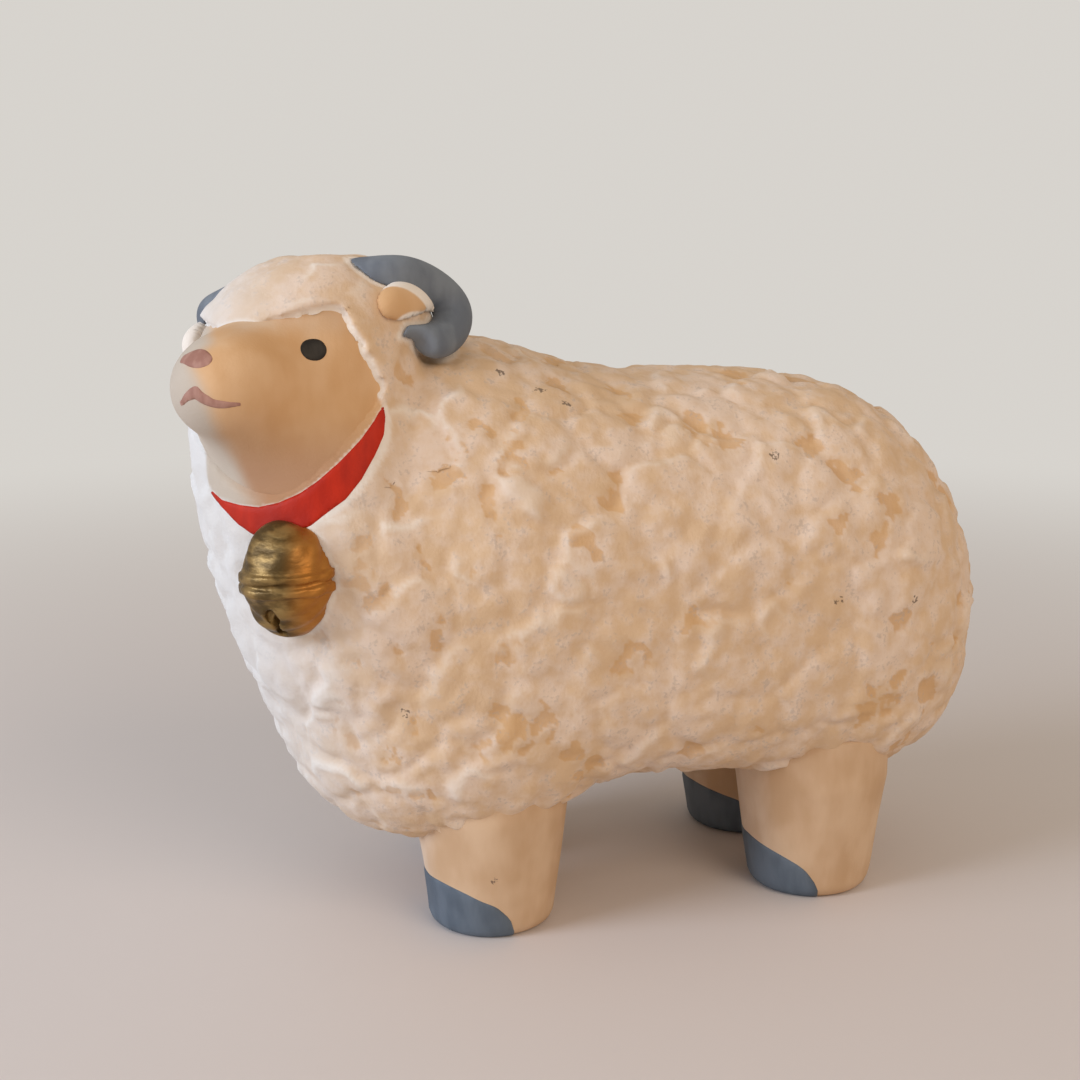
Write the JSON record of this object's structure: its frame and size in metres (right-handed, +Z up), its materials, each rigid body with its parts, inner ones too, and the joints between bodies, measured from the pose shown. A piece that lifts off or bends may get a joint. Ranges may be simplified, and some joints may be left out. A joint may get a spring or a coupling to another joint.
{
  "type": "sheep figurine",
  "caption": "Hollow painted clay sheep standing on stub legs, head turned to its left, with lumpy fleece, curled horns, red collar and a gold jingle bell in relief.",
  "frame": {"origin": "on the ground under the middle of the figure", "axes": "the animal faces -Y, its left side is +X, +Z is up"},
  "size_m": [0.0645, 0.1296, 0.1016],
  "materials": {
    "fleece": "matt whitewash brushed over unglazed clay",
    "biscuit": "matt cream paint on unglazed clay",
    "slate": "matt slate paint on unglazed clay",
    "red": "matt red paint",
    "gold": "gold paint with a metallic sheen",
    "black": "matt black paint",
    "mauve": "matt mauve paint, brushed thin"
  },
  "bodies": {
    "root": {"body_left_half": "fleece", "body_right_half": "fleece", "head": "biscuit", "head_fleece": "fleece", "horn_left": "slate", "horn_right": "slate", "ear_left": "biscuit", "ear_right": "biscuit", "collar": "red", "bell": "gold", "leg_front_left": "biscuit", "leg_front_right": "biscuit", "leg_rear_left": "biscuit", "leg_rear_right": "biscuit", "hoof_front_left": "slate", "hoof_front_right": "slate", "hoof_rear_left": "slate", "hoof_rear_right": "slate", "eye_left": "black", "eye_right": "black", "nose": "mauve", "mouth": "mauve"}
  },
  "joints": []
}
